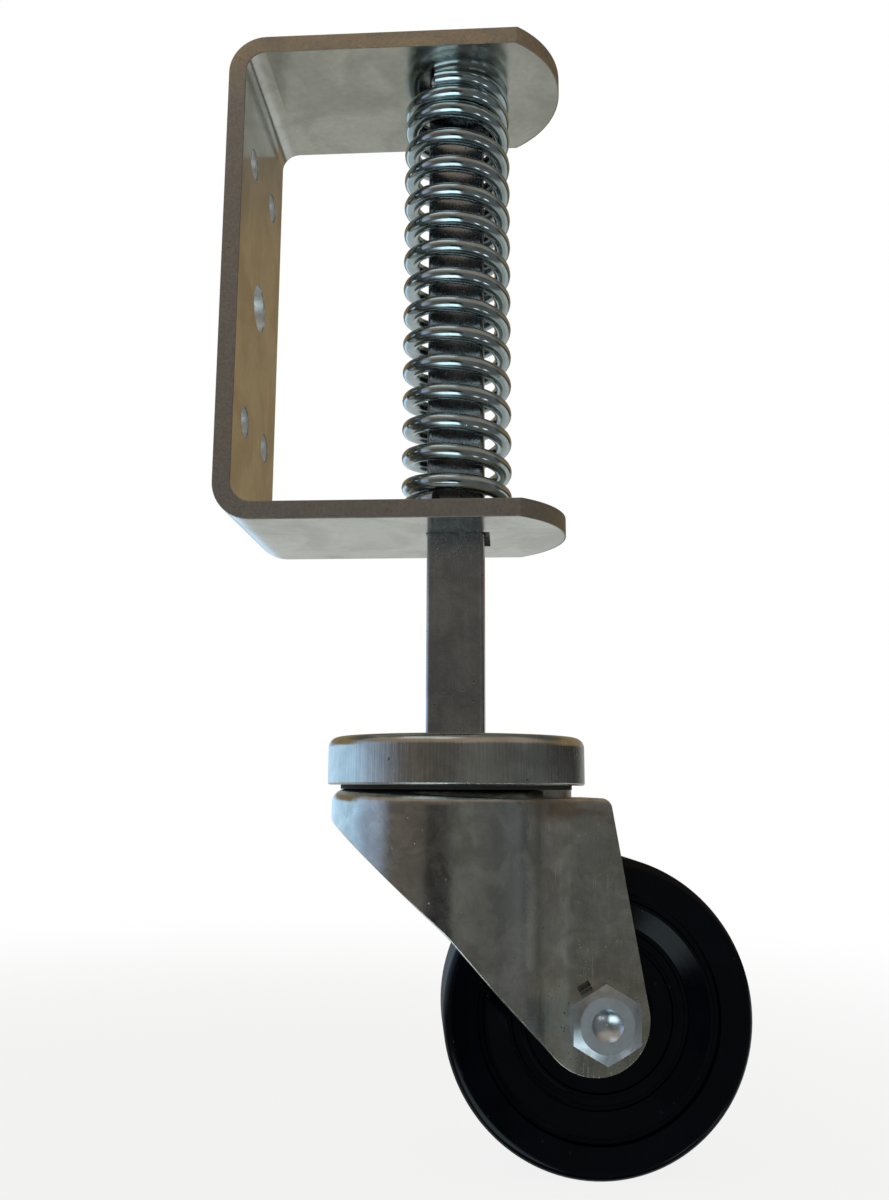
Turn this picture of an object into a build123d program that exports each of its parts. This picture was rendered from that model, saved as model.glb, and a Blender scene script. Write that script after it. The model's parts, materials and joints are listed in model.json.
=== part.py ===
from build123d import *

import math
import os

# Sprung gate wheel: a C-shaped bracket of flat bar bolts to a gate, a square stem slides
# up and down in it against a coil spring, and a swivel fork under the stem carries a
# hard rubber wheel.
#
# Frame, in millimetres: the origin is the centre of the bracket's gate-side face.
# +X points away from the gate, +Z is up, and +Y completes the right-handed frame.
# The fork group is drawn with its own x axis along the trail, and then turned.

# ---- driving dimensions ----------------------------------------------------------------
# Bracket
BAR_WIDTH = 63.5
BAR_THICKNESS = 6.35
BRACKET_HEIGHT = 180.0
BEND_INNER_RADIUS = 7.0
STEM_AXIS_X = 81.0              # from the gate-side face to the stem's axis
LEG_TIP_RADIUS = 39.0           # round end of each leg, about the stem's axis
CORNER_HOLE_DIAMETER = 11.0
CORNER_HOLE_SPACING_Y = 30.0
CORNER_HOLE_SPACING_Z = 100.0
CENTRE_HOLE_DIAMETER = 17.5
EDGE_ROUND = 0.35               # worn round on the bar's cut edges

# Stem, and the play it has in the bracket's square holes
STEM_SIDE = 20.0
STEM_CORNER_RADIUS = 1.5
STEM_ABOVE_TOP_LEG = 9.0
STEM_BELOW_BOTTOM_LEG = 71.0
STEM_END_CHAMFER = 1.5
STEM_TIGHT_PLAY = 0.3           # on the gate side and the front
STEM_LOOSE_PLAY = 2.0           # on the tip side and the back

# Spring and the seat it pushes on
SPRING_STEM_CLEARANCE = 0.45    # inside the coil, over the stem's corners
WIRE_DIAMETER = 6.0
SPRING_TURNS = 16.0
CLOSED_TURNS_BELOW = 1.0
CLOSED_TURNS_ABOVE = 2.0
CLOSED_TURN_GAP = 0.3
END_GRIND = 1.2                 # ground off each end of the coil, so that it seats flat
SPRING_END_ANGLE = 247.5        # lower end of the wire, about the stem's axis
SEAT_THICKNESS = 2.4
SEAT_INSET = 1.0                # seat's edge, in from the coil's outside
SEAT_HOLE_CLEARANCE = 0.05
SEAT_WELD_LEG = 2.4
SEAT_WELD_LENGTH = 9.0

# Swivel cap and its main ball race
CAP_DIAMETER = 88.0
CAP_HEIGHT = 16.0
CAP_PLATE = 4.0
CAP_SKIRT = 4.0
CAP_TOP_RADIUS = 3.5
CAP_LIP_ROUND = 0.8
MAIN_BALL_DIAMETER = 6.35
MAIN_BALL_CIRCLE = 64.0
MAIN_BALL_COUNT = 30
MAIN_RACE_GAP = 3.8             # between the two race rings' faces
UPPER_RACE_THICKNESS = 4.0
UPPER_RACE_BORE = 50.0
CROWN_RACE_DIAMETER = 76.4
CROWN_RACE_BORE = 48.0
BALL_GROOVE_CLEARANCE = 0.15
SEAL_THICKNESS = 1.4
SEAL_HEIGHT = 3.6
CAP_TO_CROWN_GAP = 1.4          # between the cap's lip and the fork's crown

# King bolt and the lower ball race
KING_BOLT_DIAMETER = 14.0
KING_BOLT_FLATS = 22.0
KING_BOLT_HEAD = 9.0
KING_BOLT_IN_STEM = 26.0
KING_BOLT_CLEARANCE = 0.1
CROWN_BORE = 17.0
LOWER_RACE_DIAMETER = 40.0
LOWER_RACE_THICKNESS = 3.5
LOWER_RACE_GAP = 1.7
LOWER_BALL_DIAMETER = 4.76
LOWER_BALL_CIRCLE = 28.0
LOWER_BALL_COUNT = 16

# Fork
SHEET = 3.2
CROWN_RADIUS = 38.5
CROWN_LEAD = 4.0                # crown's centre, ahead of the stem's axis
CROWN_BEND_RADIUS = 4.6
CROWN_BACK_RADIUS = 39.4        # flat back of the crown, about the stem's axis
LEG_OUTER_WIDTH = 43.0          # over the two legs
LEG_BLEND_RADIUS = 9.0          # where the round wall runs into a flat leg
SHOULDER_DROP = 2.6             # leg shoulders, below the crown's top
LEG_START = 27.5                # flat leg starts here, along the trail
NOSE_WALL = 10.0                # height of the wall at the nose
NOSE_CUT_ANGLE = 41.6
KNEE_RUN = 38.0                 # from the nose to the knee in the lower edge, along the trail
CUT_BLEND_RADIUS = 60.0
LEG_END_RADIUS = 17.5
LEG_END_LEAD = 2.3              # leg end's centre, ahead of the axle
LEG_BACK_LEAN = 9.4
SHOULDER_RADIUS = 3.5
CUT_EDGE_ROUND = 0.4            # outer edge of the pressed sheet, where it is trimmed
LOCK_SLOT_LENGTH = 4.3
LOCK_SLOT_WIDTH = 1.9
LOCK_SLOT_GAP = 0.1
LOCK_SLOT_ANGLE = 120.0         # from the trail direction, about the axle
REST_SWIVEL = 5.25              # how far the fork is turned as stored

# Wheel
WHEEL_DIAMETER = 100.0
TREAD_WIDTH = 32.0
TREAD_SHOULDER = 3.2
TRAIL = 45.3                    # from the stem's axis to the axle
WHEEL_BELOW_CROWN = 21.0        # top of the tread, below the crown's top
TYRE_DEPTH = 11.4               # from the tread to the core it is moulded on
LIP_RADIUS_INSET = 2.2          # the core's raised lip, in from its rim
RIM_GROOVE_DEPTH = 1.4
LIP_DROP = 0.5                  # lip, below the tyre's side
GROOVE_PLACE = 0.653            # groove at the slope's foot, from the hub (0) to the lip (1)
GROOVE_WIDTH = 1.3
HUB_RING_PLACE = 0.407          # thin raised ring on the web, from the hub (0) to the lip (1)
HUB_RING_WIDTH = 0.8
HUB_RING_HEIGHT = 0.9
HUB_WIDTH = 33.4
HUB_RADIUS = 16.5
WEB_WIDTH = 27.2

# Axle and wheel bearing
AXLE_DIAMETER = 14.0
AXLE_HOLE_CLEARANCE = 0.1
HEX_FLATS = 21.0
HEX_HEAD = 9.0
HEX_FACE_DIAMETER = 17.0
DIMPLE_DIAMETER = 9.8
DIMPLE_DEPTH = 2.2
NUT_HEIGHT = 11.0
AXLE_TAIL = 3.0
SLEEVE_DIAMETER = 19.0
ROLLER_DIAMETER = 3.0
ROLLER_LENGTH = 28.0
ROLLER_COUNT = 14
ROLLER_CLEARANCE = 0.03
CAGE_WALL = 1.2
CAGE_RIM = 0.9
BEARING_SHELL_WALL = 1.5
BEARING_LENGTH = 31.0
THRUST_WASHER_DIAMETER = 29.0
THRUST_PLAY = 0.1

# ---- places worked out from them -------------------------------------------------------
HALF_HEIGHT = BRACKET_HEIGHT / 2
STEM_CORNER_REACH = (STEM_SIDE / 2 - STEM_CORNER_RADIUS) * math.sqrt(2) + STEM_CORNER_RADIUS
COIL_MEAN_RADIUS = STEM_CORNER_REACH + SPRING_STEM_CLEARANCE + WIRE_DIAMETER / 2
SEAT_RADIUS = COIL_MEAN_RADIUS + WIRE_DIAMETER / 2 - SEAT_INSET
TOP_LEG_UNDERSIDE = HALF_HEIGHT - BAR_THICKNESS
BOTTOM_LEG_TOP = BAR_THICKNESS - HALF_HEIGHT
SEAT_TOP = BOTTOM_LEG_TOP + SEAT_THICKNESS
STEM_TOP = HALF_HEIGHT + STEM_ABOVE_TOP_LEG
CAP_TOP = -HALF_HEIGHT - STEM_BELOW_BOTTOM_LEG
CAP_LIP = CAP_TOP - CAP_HEIGHT
CAP_UNDERSIDE = CAP_TOP - CAP_PLATE
CAP_BORE_RADIUS = CAP_DIAMETER / 2 - CAP_SKIRT
CROWN_TOP = CAP_LIP - CAP_TO_CROWN_GAP
CROWN_UNDERSIDE = CROWN_TOP - SHEET
UPPER_RACE_FACE = CAP_UNDERSIDE - UPPER_RACE_THICKNESS
CROWN_RACE_FACE = UPPER_RACE_FACE - MAIN_RACE_GAP
MAIN_BALL_Z = (UPPER_RACE_FACE + CROWN_RACE_FACE) / 2
LOWER_RACE_FACE = CROWN_UNDERSIDE - LOWER_RACE_THICKNESS
CUP_FACE = LOWER_RACE_FACE - LOWER_RACE_GAP
LOWER_BALL_Z = (LOWER_RACE_FACE + CUP_FACE) / 2
CUP_UNDERSIDE = CUP_FACE - LOWER_RACE_THICKNESS
LEG_OUTER = LEG_OUTER_WIDTH / 2
LEG_INNER = LEG_OUTER - SHEET
WHEEL_RADIUS = WHEEL_DIAMETER / 2
AXLE_Z = CROWN_TOP - WHEEL_BELOW_CROWN - WHEEL_RADIUS
CORE_RADIUS = WHEEL_RADIUS - TYRE_DEPTH
LIP_RADIUS = CORE_RADIUS - LIP_RADIUS_INSET
GROOVE_RADIUS = HUB_RADIUS + GROOVE_PLACE * (LIP_RADIUS - HUB_RADIUS)
HUB_RING_RADIUS = HUB_RADIUS + HUB_RING_PLACE * (LIP_RADIUS - HUB_RADIUS)
SLEEVE_BORE_RADIUS = AXLE_DIAMETER / 2 + AXLE_HOLE_CLEARANCE
ROLLER_CIRCLE_RADIUS = (SLEEVE_DIAMETER + ROLLER_DIAMETER) / 2 + ROLLER_CLEARANCE
SHELL_BORE_RADIUS = ROLLER_CIRCLE_RADIUS + ROLLER_DIAMETER / 2 + ROLLER_CLEARANCE
SHELL_OUTER_RADIUS = SHELL_BORE_RADIUS + BEARING_SHELL_WALL

STEM_AXIS = Pos(STEM_AXIS_X, 0, 0)
FORK_PLACE = STEM_AXIS * Rot(0, 0, REST_SWIVEL)
# The axle runs along the fork's own y axis. Local +Z of a turned piece points to the front.
AXLE_PLACE = FORK_PLACE * Pos(TRAIL, 0, AXLE_Z) * Rot(90, 0, 0)


def disc(radius, low, high, bore=0.0):
    """A round plate or ring about Z, between two heights."""
    ring = Pos(0, 0, (low + high) / 2) * Cylinder(radius, high - low)
    if bore:
        ring -= Pos(0, 0, (low + high) / 2) * Cylinder(bore, high - low + 2)
    return ring


def hexagon(flats, low, high, turn=0.0):
    """A hexagonal prism about Z, between two heights."""
    outline = Rot(0, 0, turn) * RegularPolygon(flats / 2, 6, major_radius=False)
    return Pos(0, 0, low) * extrude(outline, high - low)


def around(piece, count):
    """Copies of a piece, evenly spaced about Z."""
    return [Rot(0, 0, 360 * i / count) * piece for i in range(count)]


def ball_groove(circle, z, ball_diameter):
    """The ring that a ball sweeps, a little larger than the ball."""
    return Pos(0, 0, z) * Torus(circle / 2, ball_diameter / 2 + BALL_GROOVE_CLEARANCE)


# ---- bracket ---------------------------------------------------------------------------
def make_bracket():
    outer_bend = BEND_INNER_RADIUS + BAR_THICKNESS
    tip_x = STEM_AXIS_X + LEG_TIP_RADIUS
    inner_width = tip_x - BAR_THICKNESS
    outer = Pos(tip_x / 2, 0) * Rectangle(tip_x, BRACKET_HEIGHT)
    outer = fillet(outer.vertices().group_by(Axis.X)[0], outer_bend)
    inner = Pos(BAR_THICKNESS + inner_width / 2, 0) * Rectangle(
        inner_width, BRACKET_HEIGHT - 2 * BAR_THICKNESS)
    inner = fillet(inner.vertices().group_by(Axis.X)[0], BEND_INNER_RADIUS)
    bent_bar = extrude(Plane.XZ * (outer - inner), BAR_WIDTH / 2, both=True)

    straight = Pos(STEM_AXIS_X / 2, 0) * Rectangle(STEM_AXIS_X, BAR_WIDTH)
    tip = Pos(STEM_AXIS_X, 0) * Circle(LEG_TIP_RADIUS)
    strip = Pos(tip_x / 2, 0) * Rectangle(tip_x, BAR_WIDTH)
    plan = straight + (tip & strip)
    bracket = bent_bar & extrude(Plane.XY * plan, HALF_HEIGHT, both=True)
    sharp = bracket.edges().filter_by(Plane.XZ).group_by(Axis.Y)
    bracket = fillet(sharp[0] + sharp[-1], EDGE_ROUND)

    hole_side = STEM_SIDE + STEM_TIGHT_PLAY + STEM_LOOSE_PLAY
    hole_shift = (STEM_LOOSE_PLAY - STEM_TIGHT_PLAY) / 2
    stem_hole = Pos(STEM_AXIS_X + hole_shift, hole_shift, 0) * Box(
        hole_side, hole_side, BRACKET_HEIGHT + 2)
    bolt_hole = Rot(0, 90, 0) * Cylinder(CORNER_HOLE_DIAMETER / 2, 4 * BAR_THICKNESS)
    bracket -= stem_hole
    for y in (-1, 1):
        for z in (-1, 1):
            place = Pos(0, y * CORNER_HOLE_SPACING_Y / 2, z * CORNER_HOLE_SPACING_Z / 2)
            bracket -= place * bolt_hole
    bracket -= Rot(0, 90, 0) * Cylinder(CENTRE_HOLE_DIAMETER / 2, 4 * BAR_THICKNESS)
    return bracket


# ---- sliding stem group ----------------------------------------------------------------
def make_stem():
    section = RectangleRounded(STEM_SIDE, STEM_SIDE, STEM_CORNER_RADIUS)
    stem = Pos(0, 0, CAP_TOP) * extrude(section, STEM_TOP - CAP_TOP)
    stem = chamfer(stem.faces().sort_by(Axis.Z)[-1].edges(), STEM_END_CHAMFER / 2)
    bolt_bore = KING_BOLT_DIAMETER / 2 + KING_BOLT_CLEARANCE
    stem -= disc(bolt_bore, CAP_TOP - 1, CAP_TOP + KING_BOLT_IN_STEM + 1)
    return STEM_AXIS * stem


def make_spring_seat():
    hole_side = STEM_SIDE + 2 * SEAT_HOLE_CLEARANCE
    seat = disc(SEAT_RADIUS, BOTTOM_LEG_TOP, SEAT_TOP)
    seat -= Pos(0, 0, SEAT_TOP) * Box(hole_side, hole_side, 4 * SEAT_THICKNESS)
    return STEM_AXIS * seat


def make_seat_welds():
    bead = extrude(Plane.XZ * Polygon((0, 0), (SEAT_WELD_LEG, 0), (0, SEAT_WELD_LEG),
                                      align=None), SEAT_WELD_LENGTH / 2, both=True)
    bead = Pos(STEM_SIDE / 2, 0, SEAT_TOP) * bead
    return [STEM_AXIS * weld for weld in around(bead, 4)]


def make_spring():
    """Left-handed wire as three helices, a closed end, open turns and a closed end, ground flat."""
    closed_pitch = WIRE_DIAMETER + CLOSED_TURN_GAP
    low = SEAT_TOP + WIRE_DIAMETER / 2 - END_GRIND
    high = TOP_LEG_UNDERSIDE - WIRE_DIAMETER / 2 + END_GRIND
    open_turns = SPRING_TURNS - CLOSED_TURNS_BELOW - CLOSED_TURNS_ABOVE
    open_height = high - low - (CLOSED_TURNS_BELOW + CLOSED_TURNS_ABOVE) * closed_pitch
    open_pitch = open_height / open_turns
    spring = None
    z = low
    angle = SPRING_END_ANGLE
    for turns, pitch in ((CLOSED_TURNS_BELOW, closed_pitch), (open_turns, open_pitch),
                         (CLOSED_TURNS_ABOVE, closed_pitch)):
        height = turns * pitch
        path = Helix(pitch, height, COIL_MEAN_RADIUS, lefthand=True)
        wire = sweep(Plane(path @ 0, z_dir=path % 0) * Circle(WIRE_DIAMETER / 2), path)
        stretch = Pos(0, 0, z) * Rot(0, 0, angle) * wire
        spring = stretch if spring is None else spring + stretch
        z += height
        angle -= 360 * turns
        if z < high - WIRE_DIAMETER:
            joint = Rot(0, 0, angle) * Pos(COIL_MEAN_RADIUS, 0, z) * Sphere(WIRE_DIAMETER / 2)
            spring += joint
    return STEM_AXIS * (spring & disc(2 * COIL_MEAN_RADIUS, SEAT_TOP, TOP_LEG_UNDERSIDE))


def make_cap():
    cap = disc(CAP_DIAMETER / 2, CAP_LIP, CAP_TOP)
    cap = fillet(cap.edges().group_by(Axis.Z)[-1], CAP_TOP_RADIUS)
    cap = fillet(cap.edges().group_by(Axis.Z)[0], CAP_LIP_ROUND)
    cap -= disc(CAP_BORE_RADIUS, CAP_LIP - 1, CAP_UNDERSIDE)
    cap -= disc(KING_BOLT_DIAMETER / 2 + KING_BOLT_CLEARANCE, CAP_UNDERSIDE - 1, CAP_TOP + 1)
    return STEM_AXIS * cap


def make_upper_race():
    race = disc(CAP_BORE_RADIUS, UPPER_RACE_FACE, CAP_UNDERSIDE, UPPER_RACE_BORE / 2)
    race -= ball_groove(MAIN_BALL_CIRCLE, MAIN_BALL_Z, MAIN_BALL_DIAMETER)
    return STEM_AXIS * race


def make_king_bolt():
    bolt = disc(KING_BOLT_DIAMETER / 2, CUP_UNDERSIDE, CAP_TOP + KING_BOLT_IN_STEM)
    head = hexagon(KING_BOLT_FLATS, CUP_UNDERSIDE - KING_BOLT_HEAD, CUP_UNDERSIDE)
    round_end = disc(KING_BOLT_FLATS / 2, CUP_UNDERSIDE - KING_BOLT_HEAD, CUP_UNDERSIDE)
    round_end = chamfer(round_end.edges().group_by(Axis.Z)[0], 1.0)
    corners = disc(KING_BOLT_FLATS, CUP_UNDERSIDE - KING_BOLT_HEAD + 1.0, CUP_UNDERSIDE)
    return STEM_AXIS * (bolt + (head & (round_end + corners)))


def make_bottom_cup():
    cup = disc(LOWER_RACE_DIAMETER / 2, CUP_UNDERSIDE, CUP_FACE,
               KING_BOLT_DIAMETER / 2 + KING_BOLT_CLEARANCE)
    cup -= ball_groove(LOWER_BALL_CIRCLE, LOWER_BALL_Z, LOWER_BALL_DIAMETER)
    return STEM_AXIS * cup


# ---- swivel fork group -----------------------------------------------------------------
def fork_plan(inset):
    """Plan of the fork's wall: a round nose that runs into two flat legs."""
    half_width = LEG_OUTER - inset
    length = TRAIL + LEG_END_RADIUS + 20
    nose = Pos(-CROWN_LEAD, 0) * Circle(CROWN_RADIUS - inset)
    legs = Pos(length / 2, 0) * Rectangle(length, 2 * half_width)
    plan = nose + legs
    inner_corners = [v for v in plan.vertices() if 0 < v.X < length - 1]
    return fillet(inner_corners, LEG_BLEND_RADIUS + inset)


def fork_side():
    """Side outline that the fork is trimmed to, with x along the trail and y up."""
    nose_x = -CROWN_LEAD - CROWN_RADIUS
    nose_z = CROWN_TOP - NOSE_WALL
    end_x, end_z = TRAIL - LEG_END_LEAD, AXLE_Z
    nose_cut = math.radians(NOSE_CUT_ANGLE)
    lean = math.radians(LEG_BACK_LEAN)
    knee_x = nose_x + KNEE_RUN
    knee_z = nose_z - KNEE_RUN * math.tan(nose_cut)
    # the leg's lower edge runs from the knee and touches the leg's round end
    sight = math.atan2(knee_z - end_z, end_x - knee_x)
    cut = sight + math.asin(LEG_END_RADIUS / math.hypot(end_x - knee_x, knee_z - end_z))
    front_x = end_x - LEG_END_RADIUS * math.sin(cut)
    front_z = end_z - LEG_END_RADIUS * math.cos(cut)
    back_x = end_x + LEG_END_RADIUS * math.cos(lean)
    back_z = end_z + LEG_END_RADIUS * math.sin(lean)
    shoulder_z = CROWN_TOP - SHOULDER_DROP
    shoulder_x = back_x - (shoulder_z - back_z) * math.tan(lean)
    far = nose_x - 20
    far_z = nose_z + 20 * math.tan(nose_cut)
    roof = CROWN_TOP + 5
    outline = Polygon((far, roof), (far, far_z), (knee_x, knee_z), (front_x, front_z),
                      (end_x, end_z), (back_x, back_z), (shoulder_x, shoulder_z),
                      (LEG_START, shoulder_z), (LEG_START, roof), align=None)
    corner = outline.vertices().sort_by_distance((shoulder_x, shoulder_z, 0))[0]
    knee = outline.vertices().sort_by_distance((knee_x, knee_z, 0))[0]
    outline = fillet(corner, SHOULDER_RADIUS)
    outline = fillet(outline.vertices().sort_by_distance(knee)[0], CUT_BLEND_RADIUS)
    return outline + Pos(end_x, end_z) * Circle(LEG_END_RADIUS)


def trimmed_edges(body, outline):
    """The sharp edges that trimming to a side outline leaves on a body's outer skin."""
    rim = outline.face().outer_wire()
    cut_faces = []
    for face in body.faces():
        middle = face.center()
        if rim.distance_to(Vertex(middle.X, middle.Z, 0)) < 0.02:
            cut_faces.append(face)
    edges = []
    for edge in body.edges():
        sides = sum(any(edge.is_same(other) for other in face.edges()) for face in cut_faces)
        if sides == 1 and edge.center().Z < CROWN_TOP - 0.01:
            edges.append(edge)
    return edges


def make_fork():
    low = AXLE_Z - LEG_END_RADIUS - 10
    body = Pos(0, 0, low) * extrude(fork_plan(0), CROWN_TOP - low)
    crown_edge = [edge for edge in body.edges().group_by(Axis.Z)[-1]
                  if edge.center().X < LEG_START]
    body = fillet(crown_edge, CROWN_BEND_RADIUS)
    hollow = Pos(0, 0, low - 1) * extrude(fork_plan(SHEET), CROWN_UNDERSIDE - low + 1)
    roof_edge = hollow.edges().group_by(Axis.Z)[-1]
    hollow = fillet([edge for edge in roof_edge if edge.center().X < LEG_START],
                    CROWN_BEND_RADIUS - SHEET)
    sides = extrude(Plane.XZ * fork_side(), 2 * CROWN_RADIUS, both=True)
    body = body & sides
    body = fillet(trimmed_edges(body, fork_side()), CUT_EDGE_ROUND)
    fork = body - hollow
    between_legs = Pos(LEG_START + CROWN_RADIUS - SHEET, 0, CROWN_TOP) * Box(
        2 * CROWN_RADIUS, 2 * LEG_INNER + SHEET, 4 * SHEET)
    fork += disc(CROWN_BACK_RADIUS, CROWN_UNDERSIDE, CROWN_TOP) & between_legs
    fork -= disc(CROWN_BORE / 2, CROWN_UNDERSIDE - 1, CROWN_TOP + 1)
    fork -= Pos(TRAIL, 0, AXLE_Z) * Rot(90, 0, 0) * Cylinder(
        AXLE_DIAMETER / 2 + AXLE_HOLE_CLEARANCE, 2 * LEG_OUTER_WIDTH)

    reach = HEX_FLATS / 2 + LOCK_SLOT_GAP + LOCK_SLOT_WIDTH / 2
    slot = Pos(TRAIL, -LEG_OUTER, AXLE_Z) * Rot(0, -LOCK_SLOT_ANGLE, 0) * Pos(
        reach, 0, 0) * Box(LOCK_SLOT_WIDTH, 4 * SHEET, LOCK_SLOT_LENGTH)
    return FORK_PLACE * (fork - slot)


def make_crown_race():
    race = disc(CROWN_RACE_DIAMETER / 2, CROWN_TOP, CROWN_RACE_FACE, CROWN_RACE_BORE / 2)
    race -= ball_groove(MAIN_BALL_CIRCLE, MAIN_BALL_Z, MAIN_BALL_DIAMETER)
    return FORK_PLACE * race


def make_dust_seal():
    bore = CROWN_RACE_DIAMETER / 2
    return FORK_PLACE * disc(bore + SEAL_THICKNESS, CROWN_TOP, CROWN_TOP + SEAL_HEIGHT, bore)


def make_balls(circle, z, diameter, count):
    ball = Pos(circle / 2, 0, z) * Sphere(diameter / 2)
    return [FORK_PLACE * copy for copy in around(ball, count)]


def make_lower_race():
    race = disc(LOWER_RACE_DIAMETER / 2, LOWER_RACE_FACE, CROWN_UNDERSIDE, CROWN_BORE / 2)
    race -= ball_groove(LOWER_BALL_CIRCLE, LOWER_BALL_Z, LOWER_BALL_DIAMETER)
    return FORK_PLACE * race


# ---- axle, drawn about Z with the front towards +Z --------------------------------------
def hex_with_round_face(low, high):
    """A hexagon whose outer end is turned down to a round face."""
    slope = (HEX_FLATS / math.cos(math.radians(30)) - HEX_FACE_DIAMETER) / 2
    blank = disc(HEX_FLATS, low, high)
    blank = chamfer(blank.edges().group_by(Axis.Z)[-1],
                    slope * math.tan(math.radians(30)) * 1.6,
                    HEX_FLATS - HEX_FACE_DIAMETER / 2)
    return hexagon(HEX_FLATS, low, high, turn=30) & blank


def make_axle_bolt():
    head_top = LEG_OUTER + HEX_HEAD
    tail = LEG_OUTER + NUT_HEIGHT + AXLE_TAIL
    bolt = hex_with_round_face(LEG_OUTER, head_top) + disc(AXLE_DIAMETER / 2, -tail, LEG_OUTER)
    bolt = chamfer(bolt.edges().group_by(Axis.Z)[0], 1.2)
    dish_radius = (DIMPLE_DEPTH ** 2 + (DIMPLE_DIAMETER / 2) ** 2) / (2 * DIMPLE_DEPTH)
    dimple = Pos(0, 0, head_top + dish_radius - DIMPLE_DEPTH) * Sphere(dish_radius)
    return AXLE_PLACE * (bolt - dimple)


def make_axle_nut():
    nut = Rot(180, 0, 0) * hex_with_round_face(LEG_OUTER, LEG_OUTER + NUT_HEIGHT)
    nut -= disc(AXLE_DIAMETER / 2 + AXLE_HOLE_CLEARANCE, -LEG_OUTER - NUT_HEIGHT - 1, -LEG_OUTER + 1)
    return AXLE_PLACE * nut


def make_axle_sleeve():
    return AXLE_PLACE * disc(SLEEVE_DIAMETER / 2, -LEG_INNER, LEG_INNER, SLEEVE_BORE_RADIUS)


def make_thrust_washers():
    hub_face = HUB_WIDTH / 2 + THRUST_PLAY
    bore = SLEEVE_DIAMETER / 2 + AXLE_HOLE_CLEARANCE
    washer = disc(THRUST_WASHER_DIAMETER / 2, hub_face, LEG_INNER, bore)
    return [AXLE_PLACE * washer, AXLE_PLACE * Rot(180, 0, 0) * washer]


# ---- wheel group, drawn about Z ----------------------------------------------------------
def turned(points):
    """A ring turned from half a section, mirrored about the wheel's middle plane."""
    half = Plane.XZ * Polygon(*points, align=None)
    ring = revolve(half, Axis.Z)
    return ring + mirror(ring, Plane.XY)


def make_tyre():
    half = TREAD_WIDTH / 2
    side = [(CORE_RADIUS, 0), (WHEEL_RADIUS, 0), (WHEEL_RADIUS, half), (CORE_RADIUS + 0.6, half),
            (CORE_RADIUS, half - RIM_GROOVE_DEPTH)]
    tyre = turned(side)
    rim = tyre.edges().filter_by(GeomType.CIRCLE).filter_by(
        lambda edge: abs(edge.radius - WHEEL_RADIUS) < 0.01 and abs(abs(edge.center().Z) - half) < 0.01)
    return AXLE_PLACE * fillet(rim, TREAD_SHOULDER)


def make_wheel_core():
    """A moulded core: a lip, a slope down to a groove, a flat web with a ring, and the hub."""
    bore, half = SHELL_OUTER_RADIUS, TREAD_WIDTH / 2
    hub, web = HUB_WIDTH / 2, WEB_WIDTH / 2
    floor = half - RIM_GROOVE_DEPTH
    lip_top = half - LIP_DROP
    ring_out, ring_in = HUB_RING_RADIUS + HUB_RING_WIDTH / 2, HUB_RING_RADIUS - HUB_RING_WIDTH / 2
    ring_top = web + HUB_RING_HEIGHT
    groove_in, groove_floor = GROOVE_RADIUS - GROOVE_WIDTH, web - HUB_RING_HEIGHT
    side = [(bore, 0), (CORE_RADIUS, 0), (CORE_RADIUS, floor), (LIP_RADIUS + 1, floor),
            (LIP_RADIUS + 0.5, lip_top), (LIP_RADIUS - 0.5, lip_top),
            (GROOVE_RADIUS, web), (GROOVE_RADIUS, groove_floor),
            (groove_in, groove_floor), (groove_in - 0.5, web), (ring_out + 0.4, web),
            (ring_out, ring_top), (ring_in, ring_top), (ring_in - 0.4, web),
            (HUB_RADIUS + 1.2, web), (HUB_RADIUS, web + 1.2), (HUB_RADIUS, hub), (bore, hub)]
    return AXLE_PLACE * turned(side)


def make_bearing_shell():
    half = BEARING_LENGTH / 2
    return AXLE_PLACE * disc(SHELL_OUTER_RADIUS, -half, half, SHELL_BORE_RADIUS)


def make_rollers():
    roller = Pos(ROLLER_CIRCLE_RADIUS, 0, 0) * Cylinder(ROLLER_DIAMETER / 2, ROLLER_LENGTH)
    return [AXLE_PLACE * copy for copy in around(roller, ROLLER_COUNT)]


def make_roller_cage():
    half = ROLLER_LENGTH / 2 + CAGE_RIM
    inside = ROLLER_CIRCLE_RADIUS - CAGE_WALL / 2
    cage = disc(inside + CAGE_WALL, -half, half, inside)
    window = Pos(ROLLER_CIRCLE_RADIUS, 0, 0) * Box(
        3 * CAGE_WALL, ROLLER_DIAMETER + 4 * ROLLER_CLEARANCE, ROLLER_LENGTH + 2 * ROLLER_CLEARANCE)
    for copy in around(window, ROLLER_COUNT):
        cage -= copy
    return AXLE_PLACE * cage


NODES = {
    "bracket": make_bracket(),
    "stem": make_stem(),
    "spring_seat": make_spring_seat(),
    "seat_welds": make_seat_welds(),
    "spring": make_spring(),
    "swivel_cap": make_cap(),
    "upper_race": make_upper_race(),
    "king_bolt": make_king_bolt(),
    "bottom_cup": make_bottom_cup(),
    "fork": make_fork(),
    "crown_race": make_crown_race(),
    "dust_seal": make_dust_seal(),
    "main_balls": make_balls(MAIN_BALL_CIRCLE, MAIN_BALL_Z, MAIN_BALL_DIAMETER, MAIN_BALL_COUNT),
    "lower_race": make_lower_race(),
    "lower_balls": make_balls(LOWER_BALL_CIRCLE, LOWER_BALL_Z, LOWER_BALL_DIAMETER,
                              LOWER_BALL_COUNT),
    "axle_bolt": make_axle_bolt(),
    "axle_nut": make_axle_nut(),
    "axle_sleeve": make_axle_sleeve(),
    "thrust_washers": make_thrust_washers(),
    "tyre": make_tyre(),
    "wheel_core": make_wheel_core(),
    "bearing_shell": make_bearing_shell(),
    "rollers": make_rollers(),
    "roller_cage": make_roller_cage(),
}

os.makedirs("parts", exist_ok=True)
for name, shape in NODES.items():
    if isinstance(shape, list):
        shape = Compound(children=shape)
    export_step(shape, f"parts/{name}.step")
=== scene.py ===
import json
import math

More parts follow.
